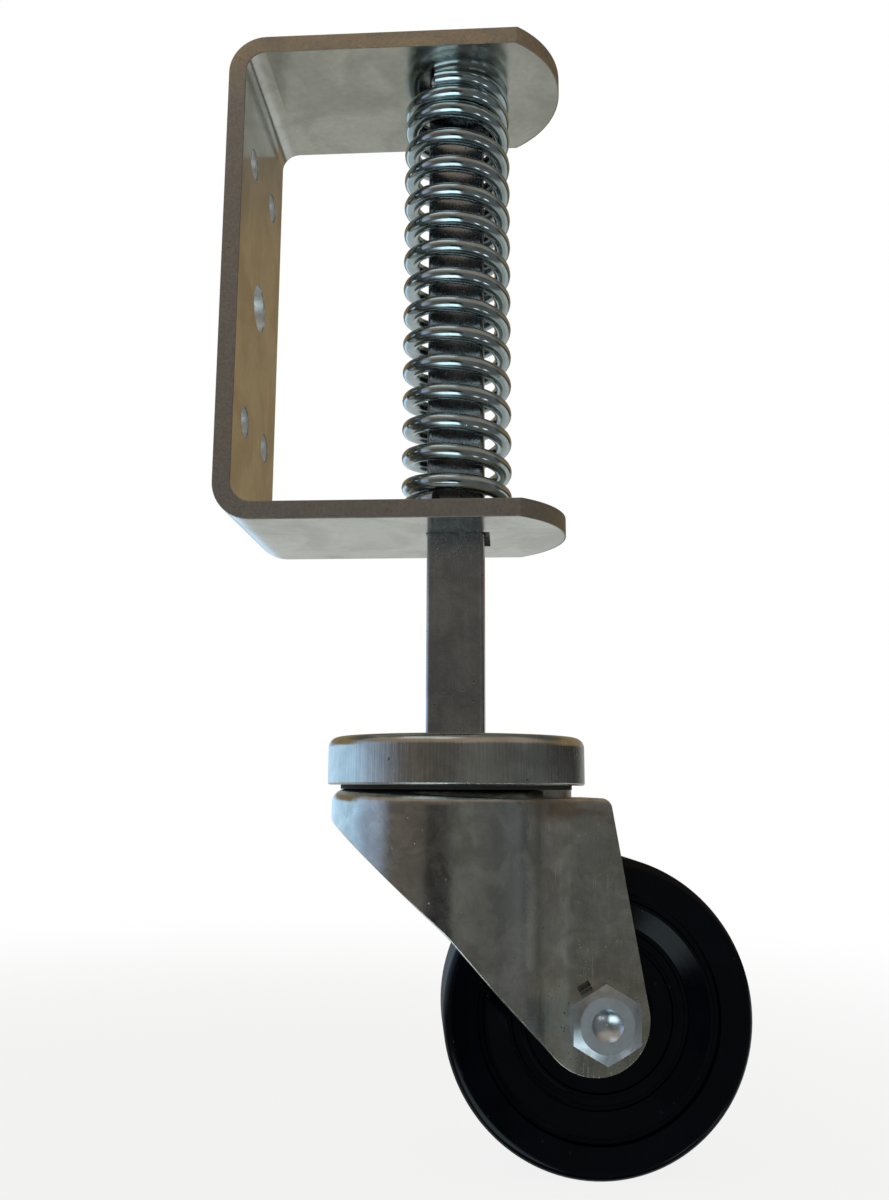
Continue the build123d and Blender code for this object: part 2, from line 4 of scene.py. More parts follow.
import bmesh
import bpy
from bpy.props import FloatProperty, FloatVectorProperty, IntProperty, PointerProperty
from bpy.types import Operator, Panel, PropertyGroup
from mathutils import Matrix, Vector


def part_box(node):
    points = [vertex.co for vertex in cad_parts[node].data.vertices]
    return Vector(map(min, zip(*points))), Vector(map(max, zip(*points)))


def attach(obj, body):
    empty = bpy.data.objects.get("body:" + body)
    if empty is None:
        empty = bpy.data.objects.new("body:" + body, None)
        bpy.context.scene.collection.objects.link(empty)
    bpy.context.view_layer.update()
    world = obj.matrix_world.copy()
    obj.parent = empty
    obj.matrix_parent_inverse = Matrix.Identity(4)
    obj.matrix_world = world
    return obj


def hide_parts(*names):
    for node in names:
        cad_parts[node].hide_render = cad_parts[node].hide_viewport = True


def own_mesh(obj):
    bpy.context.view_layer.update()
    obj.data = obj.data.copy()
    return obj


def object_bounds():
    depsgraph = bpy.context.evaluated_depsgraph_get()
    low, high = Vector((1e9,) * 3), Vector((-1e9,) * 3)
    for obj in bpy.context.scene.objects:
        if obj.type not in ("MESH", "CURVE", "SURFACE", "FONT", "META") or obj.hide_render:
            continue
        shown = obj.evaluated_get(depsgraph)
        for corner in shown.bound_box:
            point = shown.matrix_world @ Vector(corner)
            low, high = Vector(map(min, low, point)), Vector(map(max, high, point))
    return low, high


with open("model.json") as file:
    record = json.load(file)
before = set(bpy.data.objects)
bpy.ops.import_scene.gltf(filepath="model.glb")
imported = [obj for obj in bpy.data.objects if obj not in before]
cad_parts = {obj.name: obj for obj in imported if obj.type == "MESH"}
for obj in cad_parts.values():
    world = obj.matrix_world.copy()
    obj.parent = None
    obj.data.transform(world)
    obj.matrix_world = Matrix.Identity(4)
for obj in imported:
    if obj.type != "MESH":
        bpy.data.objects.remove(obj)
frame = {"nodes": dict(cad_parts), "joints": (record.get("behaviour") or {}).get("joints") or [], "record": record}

bl_info = {
    "name": "Sprung Gate Wheel",
    "version": (1, 0, 0),
    "blender": (4, 5, 0),
    "location": "View3D > Sidebar > Gate Wheel",
    "description": "Finishes for a zinc-plated gate wheel with a coil spring and a rubber tyre",
    "category": "Object",
}

NODES = frame["nodes"]
CAD_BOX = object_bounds()
JOINTS = {joint["name"]: joint for joint in frame["joints"]}
MOUNTS = {mount["name"]: mount for mount in frame["record"]["mounts"]}
MM = 0.001

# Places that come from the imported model, in metres
BRACKET_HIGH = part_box("bracket")[1]
STEM_LOW, STEM_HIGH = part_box("stem")
CAP_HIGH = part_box("swivel_cap")[1]
FORK_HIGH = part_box("fork")[1]
SPRING_LOW, SPRING_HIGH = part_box("spring")
TYRE_LOW, TYRE_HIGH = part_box("tyre")
TYRE_RADIUS = (TYRE_HIGH.z - TYRE_LOW.z) / 2
STEM_X = (STEM_LOW.x + STEM_HIGH.x) / 2
BAR_THICKNESS = MOUNTS["centre_hole"]["dims"]["length_mm"] * MM
AXLE_AT = Vector(JOINTS["wheel_spin"]["pos_m"])
AXLE_AXIS = Vector(JOINTS["wheel_spin"]["axis"])
SWIVEL_TURN = math.atan2(-AXLE_AXIS.x, AXLE_AXIS.y)

# Places on the fork and the axle's hexagons, in metres
LEG_FADE = (20.0 * MM, 32.0 * MM)           # along the trail, from the crown's tone to the leg's
CREASE = (22.0 * MM, 36.0 * MM)             # where the round wall runs into the flat leg
DIMPLE_RADIUS = 4.9 * MM
HEX_FACE_RADIUS = 8.4 * MM

WHITE = (1.0, 1.0, 1.0, 1.0)
CUT_TOLERANCE = 1e-7


# ---- sizes and colours a user would change ----------------------------------------------

def length(label, text, default, low=0.0, high=1.0):
    return FloatProperty(name=label, description=text, default=default, min=low, max=high,
                         unit="LENGTH", precision=5)


def colour(label, text, default):
    return FloatVectorProperty(name=label, description=text, default=default, size=3,
                               subtype="COLOR", min=0.0, max=1.0)


class GateWheelSizes(PropertyGroup):
    """Sizes of the spring's wire and winding"""
    wire_diameter: length("Wire diameter", "Thickness of the spring's wire", 6.0 * MM)
    closed_turn_gap: length("Closed turn gap", "Space between the spring's closed turns", 0.3 * MM)
    end_grind: length("End grind", "Depth ground off each end of the spring", 1.2 * MM)
    spring_turns: IntProperty(name="Spring turns", description="Turns of wire, both ends included",
                              default=16, min=4, max=40)
    closed_above: IntProperty(name="Closed turns above", description="Close-wound turns at the top",
                              default=2, min=1, max=4)
    closed_below: IntProperty(name="Closed turns below", description="Close-wound turns at the seat",
                              default=1, min=1, max=4)
    spring_start: FloatProperty(name="Wire's top end", description="Angle of the wire's top end",
                                default=math.radians(247.5), subtype="ANGLE")
    wire_sides: IntProperty(name="Wire sides", description="Sides of the wire's section",
                            default=20, min=8, max=64)
    steps_per_turn: IntProperty(name="Steps per turn", description="Sections in one turn of wire",
                                default=64, min=16, max=128)


class GateWheelColours(PropertyGroup):
    """Base colours of the plated steel, the rubber and the floor"""
    zinc_pale: colour("Zinc, pale", "Clean bright plate", (0.60, 0.605, 0.57))
    zinc_dull: colour("Zinc, dull", "Plate where it has gone grey-green", (0.46, 0.46, 0.42))
    bar_dark: colour("Bar, dark", "Mottled plate on the square bar", (0.40, 0.39, 0.40))
    sheared: colour("Sheared edge", "Matte brown-grey edge of the flat bar", (0.42, 0.37, 0.30))
    wire: colour("Spring wire", "Blue-grey plate on the wire", (0.46, 0.55, 0.58))
    bolt: colour("Bolt plate", "Bright plate on nuts and bolts", (0.70, 0.79, 0.86))
    rubber: colour("Rubber", "Hard black rubber", (0.0006, 0.0010, 0.0022))
    floor: colour("Floor", "Pale floor under the wheel", (0.80, 0.80, 0.80))


def sizes():
    return bpy.context.scene.gate_wheel_sizes


def colours():
    return bpy.context.scene.gate_wheel_colours


# ---- shader maths -----------------------------------------------------------------------

class Socket:
    """A socket in a node tree. Python operators on it add Math nodes to that tree."""

    def __init__(self, tree, socket=None):
        self.tree = tree
        self.socket = socket

    def node(self, kind, settings=None, inputs=None, output=0):
        """Adds a node of any kind: its settings first, then its sockets' values or links."""
        made = self.tree.nodes.new(kind)
        for name, value in (settings or {}).items():
            if name == "stops":
                write_stops(made.color_ramp, value)
            else:
                setattr(made, name, value)
        for name, value in (inputs or {}).items():
            if isinstance(value, Socket):
                self.tree.links.new(value.socket, made.inputs[name])
            else:
                made.inputs[name].default_value = value
        return Socket(self.tree, made.outputs[output] if len(made.outputs) else None)

    def math(self, operation, first, second=0.0):
        return self.node("ShaderNodeMath", {"operation": operation}, {0: first, 1: second})

    def __add__(self, other):
        return self.math("ADD", self, other)

    def __sub__(self, other):
        return self.math("SUBTRACT", self, other)

    def __rsub__(self, other):
        return self.math("SUBTRACT", other, self)

    def __mul__(self, other):
        return self.math("MULTIPLY", self, other)

    def __truediv__(self, other):
        return self.math("DIVIDE", self, other)

    def __pow__(self, other):
        return self.math("POWER", self, other)

    def __abs__(self):
        return self.math("ABSOLUTE", self)

    __radd__ = __add__
    __rmul__ = __mul__


def write_stops(ramp, stops):
    """Gives a colour ramp its stops: (position, (r, g, b)) pairs."""
    while len(ramp.elements) < len(stops):
        ramp.elements.new(0.5)
    for element, (position, rgb) in zip(ramp.elements, stops):
        element.position = position
        element.color = (*rgb, 1.0)


def rgba(rgb):
    return (*rgb, 1.0)


def smooth(value, low, high):
    """0 below low and 1 above high, with a soft step between; low may be the larger."""
    return value.node("ShaderNodeMapRange", {"interpolation_type": "SMOOTHSTEP"},
                      {"Value": value, "From Min": low, "From Max": high})


def blend(factor, first, second):
    """Mixes two colours."""
    wired = {6: first if isinstance(first, Socket) else rgba(first),
             7: second if isinstance(second, Socket) else rgba(second), 0: factor}
    return factor.node("ShaderNodeMix", {"data_type": "RGBA"}, wired, 2)


def shade(tint, amount):
    """Multiplies a colour by a number."""
    grey = tint.node("ShaderNodeCombineColor", {}, {0: amount, 1: amount, 2: amount})
    return tint.node("ShaderNodeMix", {"data_type": "RGBA", "blend_type": "MULTIPLY"},
                     {0: 1.0, 6: tint, 7: grey}, 2)


def noise(place, scale, detail=3.0, roughness=0.55, distortion=0.0):
    return place.node("ShaderNodeTexNoise", {}, {
        "Vector": place, "Scale": scale, "Detail": detail, "Roughness": roughness,
        "Distortion": distortion})


def stretched(place, scale, turn=(0.0, 0.0, 0.0), shift=(0.0, 0.0, 0.0)):
    """Coordinates drawn out along the axes whose scale is small."""
    return place.node("ShaderNodeMapping", {}, {
        "Vector": place, "Location": shift, "Rotation": turn, "Scale": scale})


def specks(place, scale, share, size):
    """Small scattered dots: 1 inside a dot. Share is how many cells hold one."""
    cell = {"Vector": place, "Scale": scale, "Randomness": 1.0}
    distance = place.node("ShaderNodeTexVoronoi", {}, cell)
    chance = place.node("ShaderNodeTexVoronoi", {}, cell, "Color")
    chance = place.node("ShaderNodeSeparateColor", {}, {"Color": chance})
    return smooth(distance, size, size * 0.5) * smooth(chance, share, share * 0.98)


def parts_of(place):
    """The three numbers of a vector."""
    return [place.node("ShaderNodeSeparateXYZ", {}, {0: place}, axis) for axis in range(3)]


def distance(first, second):
    """How far a point is from the line where both numbers are 0."""
    return (first * first + second * second) ** 0.5


def along_trail(place):
    """Coordinates turned with the fork: x runs from the stem's axis along the trail."""
    from_stem = stretched(place, (1.0, 1.0, 1.0), (0.0, 0.0, 0.0), (-STEM_X, 0.0, 0.0))
    return stretched(from_stem, (1.0, 1.0, 1.0), (0.0, 0.0, -SWIVEL_TURN))


def from_axle(place):
    """Distances from the axle's middle: across the wheel, out along the axle, and up."""
    turned = stretched(place, (1.0, 1.0, 1.0), (0.0, 0.0, 0.0), tuple(-AXLE_AT))
    return parts_of(stretched(turned, (1.0, 1.0, 1.0), (0.0, 0.0, -SWIVEL_TURN)))


def between(value, low, high, soft):
    """1 between two numbers and 0 outside them, with soft ends."""
    return smooth(value, low - soft, low + soft) * smooth(value, high + soft, high - soft)


def new_material(name):
    """A material with an empty tree, and the Object coordinates that every pattern starts from."""
    material = bpy.data.materials.new(name)
    material.use_nodes = True
    material.node_tree.nodes.clear()
    place = Socket(material.node_tree).node("ShaderNodeTexCoord", {}, {}, "Object")
    return material, place


def finish(material, place, base, metallic, roughness, height, depth, specular=0.5):
    """Joins colour, gloss and surface height into the material's one shader."""
    bump = place.node("ShaderNodeBump", {}, {"Height": height, "Distance": depth, "Strength": 1.0})
    shader = place.node("ShaderNodeBsdfPrincipled", {}, {
        "Base Color": base, "Metallic": metallic, "Roughness": roughness, "Normal": bump,
        "Specular IOR Level": specular})
    place.node("ShaderNodeOutputMaterial", {}, {"Surface": shader})
    return material


# ---- finishes -----------------------------------------------------------------------------

def pressed_plate(name):
    """The fork's satin plate: soft clouds, rubbed upright streaks, pits and a patchy brown band along the top of
    the legs.
    """
    material, place = new_material(name)
    tint = colours()
    trail = along_trail(place)
    x, _, z = parts_of(trail)
    on_leg = smooth(x, *LEG_FADE)
    crease = between(x, *CREASE, 3.0 * MM)
    clouds = smooth(noise(place, 46.0, 5.0, 0.62, 0.7), 0.36, 0.68)
    mottle = noise(place, 420.0, 6.0, 0.65)
    grain = noise(place, 3200.0, 2.0)
    streak = noise(stretched(trail, (1.0, 1.0, 0.07)), 420.0, 5.0, 0.72)
    lines = smooth(noise(stretched(trail, (1.0, 1.0, 0.03)), 1500.0, 2.0), 0.63, 0.72)
    lines = lines * smooth(noise(place, 70.0, 2.0), 0.48, 0.64) * on_leg
    blotch = smooth(noise(place, 115.0, 5.0, 0.68, 0.9), 0.40, 0.62)
    low_leg = on_leg * smooth(z, AXLE_AT.z + 34.0 * MM, AXLE_AT.z + 8.0 * MM)
    dots = specks(place, 430.0, 0.30, 0.13)
    pits = specks(place, 760.0, 0.55, 0.22) * low_leg
    # A patchy brown band along the legs, a little below their top.
    brown_band_place = smooth(z, FORK_HIGH.z - 13.0 * MM, FORK_HIGH.z - 7.0 * MM) * on_leg
    brown_patches = brown_band_place * smooth(noise(stretched(trail, (0.4, 1.0, 1.0)), 95.0, 4.0, 0.6), 0.34, 0.56)
    by_crease = between(x, 22.0 * MM, 31.0 * MM, 3.0 * MM)
    below_axle = smooth(z, AXLE_AT.z - 1.0 * MM, AXLE_AT.z - 6.0 * MM)
    gilt = specks(place, 600.0, 0.42, 0.24) * (by_crease * below_axle)
    tone = blend(clouds, tint.zinc_pale, tint.zinc_dull)
    tone = blend(low_leg * 0.35, tone, (0.47, 0.45, 0.33))
    tone = blend(brown_patches * 0.75, tone, (0.34, 0.25, 0.17))
    tone = shade(tone, 0.82 + mottle * 0.26 + (blotch - 0.4) * 0.20 + on_leg * (streak - 0.5) * 0.30
                 - dots * 0.40 - pits * 0.60)
    tone = blend(lines * 0.55, tone, (0.86, 0.88, 0.86))
    tone = blend(gilt * 0.9, tone, (0.95, 0.72, 0.25))
    rough = (0.16 + clouds * 0.05 + (mottle - 0.5) * 0.08 + blotch * 0.05 + crease * 0.22
             + on_leg * (0.05 + (streak - 0.5) * 0.14) + lines * 0.16 + dots * 0.2 + pits * 0.3)
    height = (noise(place, 26.0, 2.0) * 0.05 + mottle * 0.02 + grain * 0.006 + on_leg * streak * 0.02
              - dots * 0.05 - pits * 0.08 - lines * 0.012)
    return finish(material, place, tone, 1.0, rough, height, 1.0 * MM)


def flat_bar(name):
    """The bracket's plate, with matte brown sheared edges and bright hole walls. The brown kept on the top leg's
    edges is a painted warm reflection; lower down the edges are greyed.
    """
    material, place = new_material(name)
    tint = colours()
    x, y, z = parts_of(place)
    across = abs(y)
    tip = distance(x - STEM_X, y)
    half = BRACKET_HIGH.y
    reach = BRACKET_HIGH.x - STEM_X
    on_side = smooth(across, half - 0.30 * MM, half - 0.05 * MM)
    past_corner = smooth(x, STEM_X + 0.50 * reach, STEM_X + 0.55 * reach)
    on_tip = smooth(tip, reach - 0.60 * MM, reach - 0.40 * MM) * past_corner
    edge = place.math("MAXIMUM", on_side, on_tip)
    in_plate = between(x, 0.5 * MM, BAR_THICKNESS - 0.5 * MM, 0.2 * MM)
    off_edges = smooth(across, half - 2.0 * MM, half - 4.0 * MM)
    off_legs = smooth(abs(z), 0.85 * BRACKET_HIGH.z, 0.80 * BRACKET_HIGH.z)
    hole_wall = in_plate * off_edges * off_legs

    clouds = smooth(noise(place, 30.0, 4.0, 0.6, 0.8), 0.38, 0.64)
    mottle = noise(place, 380.0, 6.0, 0.65)
    grain = noise(place, 3000.0, 2.0)
    rubbed = smooth(noise(stretched(place, (0.05, 1.0, 1.0), (0.0, 0.4, 0.15)), 2200.0, 2.0), 0.63, 0.75)
    dots = specks(place, 420.0, 0.35, 0.13)
    plate = blend(clouds, tint.zinc_pale, tint.zinc_dull)
    plate = shade(plate, 0.84 + mottle * 0.30 - dots * 0.4)

    torn = noise(place, 950.0, 5.0, 0.75, 0.6)
    rust = smooth(noise(place, 120.0, 4.0, 0.6), 0.40, 0.62)
    # Edges near the top keep their brown as a painted warm reflection of the ceiling; edges lower down turn grey.
    below_painted_reflection = smooth(z, BRACKET_HIGH.z - 8.0 * MM, BRACKET_HIGH.z - 26.0 * MM)
    raw = blend(rust, tint.sheared, (0.50, 0.42, 0.30))
    raw = blend(below_painted_reflection * 0.80, raw, (0.34, 0.33, 0.32))
    raw = shade(raw, 0.45 + torn * 1.10)
    tone = blend(edge, plate, raw)
    tone = blend(hole_wall, tone, (0.86, 0.87, 0.86))
    rough = (0.15 + clouds * 0.05 + (mottle - 0.5) * 0.08 + rubbed * 0.07 + edge * (0.26 + torn * 0.16)
             + hole_wall * 0.35)
    height = (noise(place, 22.0, 2.0) * 0.05 + mottle * 0.02 + grain * 0.006 - dots * 0.05
              - rubbed * 0.01 + edge * torn * 0.14)
    return finish(material, place, tone, 1.0, rough, height, 1.0 * MM)


def square_bar(name):
    """Dark mottled plate on the drawn square bar, with small pits and long draw lines."""
    material, place = new_material(name)
    tint = colours()
    mottle = noise(place, 300.0, 7.0, 0.7, 0.3)
    clouds = noise(place, 60.0, 4.0, 0.6, 0.5)
    draw = noise(stretched(place, (1.0, 1.0, 0.015)), 1500.0, 3.0)
    dots = specks(place, 300.0, 0.4, 0.17)
    rust = specks(place, 90.0, 0.16, 0.10)
    tone = blend(smooth(clouds, 0.35, 0.65), tint.bar_dark, (0.50, 0.51, 0.50))
    tone = shade(tone, 0.72 + mottle * 0.38 + (draw - 0.5) * 0.16 - dots * 0.4)
    tone = blend(rust * 0.7, tone, (0.20, 0.12, 0.06))
    rough = 0.26 + (mottle - 0.5) * 0.24 + (draw - 0.5) * 0.1 + dots * 0.2
    height = mottle * 0.05 + draw * 0.015 - dots * 0.07 + noise(place, 24.0, 2.0) * 0.1
    return finish(material, place, tone, 1.0, rough, height, 1.0 * MM)


def drawn_wire(name):
    """Bright plate on spring wire, a little blue, with faint clouds and small bruises."""
    material, place = new_material(name)
    clouds = noise(place, 150.0, 5.0, 0.6, 0.4)
    grain = noise(place, 2600.0, 3.0)
    dots = specks(place, 260.0, 0.22, 0.13)
    tone = blend(smooth(clouds, 0.38, 0.7), colours().wire, (0.40, 0.45, 0.46))
    tone = shade(tone, 0.88 + grain * 0.2 - dots * 0.4)
    rough = 0.10 + smooth(clouds, 0.4, 0.7) * 0.07 + (grain - 0.5) * 0.06 + dots * 0.2
    height = clouds * 0.03 + grain * 0.008 - dots * 0.04
    return finish(material, place, tone, 1.0, rough, height, 1.0 * MM)


def bright_bolt(name):
    """Bright blue-white plate on cold-formed nuts and bolts."""
    material, place = new_material(name)
    clouds = noise(place, 130.0, 4.0, 0.6, 0.5)
    mottle = noise(place, 700.0, 5.0, 0.65)
    dots = specks(place, 330.0, 0.3, 0.16)
    brown_patches = smooth(noise(place, 85.0, 3.0, 0.5), 0.58, 0.72)
    across, _, up = from_axle(place)
    on_face = between(distance(across, up), DIMPLE_RADIUS, HEX_FACE_RADIUS, 0.25 * MM)
    tone = blend(smooth(clouds, 0.35, 0.7), colours().bolt, (0.50, 0.53, 0.55))
    tone = blend(brown_patches * (1.0 - on_face) * 0.35, tone, (0.33, 0.26, 0.18))
    tone = blend(on_face * 0.7, tone, (0.80, 0.90, 0.98))
    tone = shade(tone, 0.90 + mottle * 0.20 - dots * 0.35)
    rough = 0.30 + on_face * 0.14 + (mottle - 0.5) * 0.16 + brown_patches * 0.08 + dots * 0.15
    height = clouds * 0.02 + mottle * 0.02 - dots * 0.04
    return finish(material, place, tone, 1.0, rough, height, 1.0 * MM)


def pressed_rim(name):
    """Zinc plate of the swivel cap, brushed up and down round its rim."""
    material, place = new_material(name)
    tint = colours()
    x, y, z = parts_of(place)
    turn = place.math("ARCTAN2", y, x - STEM_X)
    round_rim = place.node("ShaderNodeCombineXYZ", {}, {0: turn * 60.0, 1: z * 25.0, 2: 0.0})
    streak = noise(round_rim, 1.3, 5.0, 0.75)
    fine = noise(round_rim, 4.0, 3.0, 0.6)
    side = smooth(z, CAP_HIGH.z - 2.2 * MM, CAP_HIGH.z - 3.4 * MM)
    clouds = noise(place, 50.0, 4.0, 0.6, 0.5)
    mottle = noise(place, 420.0, 6.0, 0.65)
    dots = specks(place, 210.0, 0.35, 0.14)
    tone = blend(smooth(clouds, 0.38, 0.66), tint.zinc_pale, tint.zinc_dull)
    brushed = side * ((streak - 0.5) * 0.9 + (fine - 0.5) * 0.5)
    tone = shade(tone, 0.82 + mottle * 0.2 + brushed - dots * 0.4)
    rough = 0.18 + (mottle - 0.5) * 0.1 + side * (0.04 + (fine - 0.5) * 0.25) + dots * 0.15
    height = mottle * 0.02 + side * (streak * 0.05 + fine * 0.03) - dots * 0.05
    return finish(material, place, tone, 1.0, rough, height, 1.0 * MM)


def ground_steel(name):
    """Plain ground steel of the races, sleeve and washers, greyed with old grease."""
    material, place = new_material(name)
    grease = smooth(noise(place, 70.0, 4.0, 0.6, 0.8), 0.4, 0.62)
    mottle = noise(place, 600.0, 5.0, 0.6)
    tone = blend(grease * 0.7, (0.42, 0.42, 0.41), (0.10, 0.08, 0.05))
    tone = shade(tone, 0.8 + mottle * 0.4)
    rough = 0.30 + grease * 0.12 + (mottle - 0.5) * 0.14
    return finish(material, place, tone, 1.0, rough, mottle * 0.04, 1.0 * MM)


def moulded(name, base, gloss, specular):
    """Black rubber or plastic from a mould: faint flow, fine turned rings and dust."""
    material, place = new_material(name)
    across, out, up = from_axle(place)
    radius = distance(across, up)
    ring_place = place.node("ShaderNodeCombineXYZ", {}, {0: radius, 1: out, 2: 0.0})
    rings = noise(ring_place, 1300.0, 3.0, 0.6)
    flow = noise(place, 55.0, 4.0, 0.6, 0.6)
    grain = noise(place, 2200.0, 2.0)
    dust = specks(place, 240.0, 0.28, 0.12)
    tone = blend(smooth(flow, 0.3, 0.75), base, tuple(1.9 * c for c in base))
    tone = blend(dust * 0.4, tone, (0.020, 0.018, 0.016))
    tread = smooth(radius, 0.985 * TYRE_RADIUS, 0.995 * TYRE_RADIUS)
    rough = gloss + (flow - 0.5) * 0.10 + (rings - 0.5) * 0.05 + dust * 0.25 + tread * 0.40
    height = flow * 0.03 + rings * 0.010 + grain * 0.004 + dust * 0.02
    return finish(material, place, tone, 0.0, rough, height, 1.0 * MM, specular)


def black_seal_painted_shade(name):
    """Matte black rubber of the dust seal, whose near-black also paints the shade in the gap under the swivel cap.
    """
    material, place = new_material(name)
    mottle = noise(place, 500.0, 4.0)
    tone = blend(mottle, (0.010, 0.010, 0.010), (0.030, 0.028, 0.026))
    return finish(material, place, tone, 0.0, 0.55 + mottle * 0.2, mottle * 0.05, 1.0 * MM, 0.12)


# ---- mesh helpers -------------------------------------------------------------------------

def dress(node, material):
    """Gives a CAD piece its finish."""
    for slot in NODES[node].material_slots:
        slot.material = material


def add_piece(bm, name, body, material, replaced=(), sharp_angle=math.radians(32)):
    """Turns a finished bmesh into a shaded piece that rides on a CAD body."""
    bmesh.ops.recalc_face_normals(bm, faces=bm.faces)
    for face in bm.faces:
        face.smooth = True
    for edge in bm.edges:
        if len(edge.link_faces) == 2:
            edge.smooth = edge.calc_face_angle() < sharp_angle
    mesh = bpy.data.meshes.new(name)
    bm.to_mesh(mesh)
    bm.free()
    mesh.materials.append(material)
    piece = bpy.data.objects.new(name, mesh)
    bpy.context.scene.collection.objects.link(piece)
    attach(piece, body)
    if replaced:
        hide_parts(*replaced)
    return piece


def grind_flat(bm, height, side):
    """Cuts away what stands past a level plane and closes the cut; side is 1 above, -1 below."""
    cut = bmesh.ops.bisect_plane(bm, geom=bm.verts[:] + bm.edges[:] + bm.faces[:], dist=CUT_TOLERANCE,
                                 plane_co=(0, 0, height), plane_no=(0, 0, side), clear_outer=True)
    rim = [item for item in cut["geom_cut"] if isinstance(item, bmesh.types.BMEdge)]
    bmesh.ops.holes_fill(bm, edges=rim, sides=0)


# ---- operators ----------------------------------------------------------------------------

class GATEWHEEL_OT_bracket(Operator):
    """Finish the bent flat bar that bolts to the gate"""
    bl_idname = "gatewheel.bracket"
    bl_label = "Bracket"

    def execute(self, context):
        dress("bracket", flat_bar("flat_bar"))
        return {"FINISHED"}


class GATEWHEEL_OT_stem(Operator):
    """Finish the square stem, the spring's seat and its welds"""
    bl_idname = "gatewheel.stem"
    bl_label = "Stem"

    def execute(self, context):
        bar = square_bar("square_bar")
        dress("stem", bar)
        dress("spring_seat", bar)
        dress("seat_welds", bar)
        return {"FINISHED"}


class GATEWHEEL_OT_spring(Operator):
    """Wind the coil spring from round wire, with close turns at both ends"""
    bl_idname = "gatewheel.spring"
    bl_label = "Spring"

    def execute(self, context):
        size = sizes()
        wire = size.wire_diameter
        mean_radius = (SPRING_HIGH.x - SPRING_LOW.x - wire) / 2
        low = SPRING_LOW.z + wire / 2 - size.end_grind
        high = SPRING_HIGH.z - wire / 2 + size.end_grind
        closed_pitch = wire + size.closed_turn_gap
        open_turns = size.spring_turns - size.closed_above - size.closed_below
        closed_height = (size.closed_above + size.closed_below) * closed_pitch
        open_pitch = (high - low - closed_height) / open_turns
        bm = bmesh.new()
        made = bmesh.ops.create_circle(bm, segments=size.wire_sides, radius=wire / 2,
                                       cap_ends=True)
        upright = Matrix.Rotation(math.pi / 2, 4, "X")
        swing = Matrix.Rotation(size.spring_start, 4, "Z")
        place = Matrix.Translation((STEM_X, 0, high)) @ swing @ Matrix.Translation((mean_radius, 0, 0))
        bmesh.ops.transform(bm, matrix=place @ upright, verts=made["verts"])
        section = list(bm.faces)
        for turns, pitch in ((size.closed_above, closed_pitch), (open_turns, open_pitch),
                             (size.closed_below, closed_pitch)):
            spun = bmesh.ops.spin(bm, geom=section, cent=(STEM_X, 0, 0), axis=(0, 0, 1),
                                  angle=turns * 2 * math.pi, steps=turns * size.steps_per_turn,
                                  dvec=(0, 0, -pitch / size.steps_per_turn), use_duplicate=False)
            section = [item for item in spun["geom_last"] if isinstance(item, bmesh.types.BMFace)]
        grind_flat(bm, SPRING_HIGH.z, 1)
        grind_flat(bm, SPRING_LOW.z, -1)
        piece = add_piece(bm, "coil_spring", "frame", drawn_wire("drawn_wire"),
                          ["spring"])
        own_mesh(piece)
        return {"FINISHED"}


class GATEWHEEL_OT_swivel(Operator):
    """Finish the swivel cap, its ball races, king bolt and dust seal, whose black also paints the shade under the
    cap
    """
    bl_idname = "gatewheel.swivel"
    bl_label = "Swivel head"

    def execute(self, context):
        dress("swivel_cap", pressed_rim("pressed_rim"))
        steel = ground_steel("ground_steel")
        for node in ("upper_race", "crown_race", "lower_race", "bottom_cup", "main_balls", "lower_balls"):
            dress(node, steel)
        dress("king_bolt", bright_bolt("king_bolt_plate"))
        # The seal's near-black is partly painted shade: it fills the dark gap between the cap and the fork.
        dress("dust_seal", black_seal_painted_shade("black_seal_painted_shade"))
        return {"FINISHED"}


class GATEWHEEL_OT_fork(Operator):
    """Finish the pressed fork"""
    bl_idname = "gatewheel.fork"
    bl_label = "Fork"

    def execute(self, context):
        dress("fork", pressed_plate("pressed_plate"))
        return {"FINISHED"}


class GATEWHEEL_OT_axle(Operator):
    """Finish the axle bolt, nut, sleeve and thrust washers"""
    bl_idname = "gatewheel.axle"
    bl_label = "Axle"

    def execute(self, context):
        plate = bright_bolt("bolt_plate")
        dress("axle_bolt", plate)
        dress("axle_nut", plate)
        steel = ground_steel("axle_steel")
        dress("axle_sleeve", steel)
        dress("thrust_washers", steel)
        return {"FINISHED"}


class GATEWHEEL_OT_wheel(Operator):
    """Finish the tyre, the wheel's core and its roller bearing"""
    bl_idname = "gatewheel.wheel"
    bl_label = "Wheel"

    def execute(self, context):
        base = tuple(colours().rubber)
        dress("tyre", moulded("hard_rubber", base, 0.12, 0.15))
        dress("wheel_core", moulded("core_moulding", base, 0.14, 0.15))
        steel = ground_steel("bearing_steel")
        dress("bearing_shell", steel)
        dress("rollers", steel)
        dress("roller_cage", moulded("cage_moulding", (0.03, 0.03, 0.03), 0.45, 0.5))
        return {"FINISHED"}


class GATEWHEEL_OT_stage(Operator):
    """Set the pale floor, the soft studio light and the camera"""
    bl_idname = "gatewheel.stage"
    bl_label = "Stage"

    def execute(self, context):
        scene = bpy.context.scene
        make_floor()
        make_surround(scene)
        make_lamps(scene)
        make_camera(scene)
        return {"FINISHED"}


# ---- stage ----------------------------------------------------------------------------------

FLOOR_SIZE = 6.0
FLOOR_GLOW = 0.86                           # share of the floor's white that is even everywhere
CAMERA_AT = (98.905 * MM, -368.418 * MM, -177.578 * MM)
CAMERA_TURN = (-0.1713, 0.0641, 0.0045)     # pitch, yaw and roll from level, looking along +Y
CAMERA_LENS = 31.64
CAMERA_SHIFT = (0.00352, 0.00363)

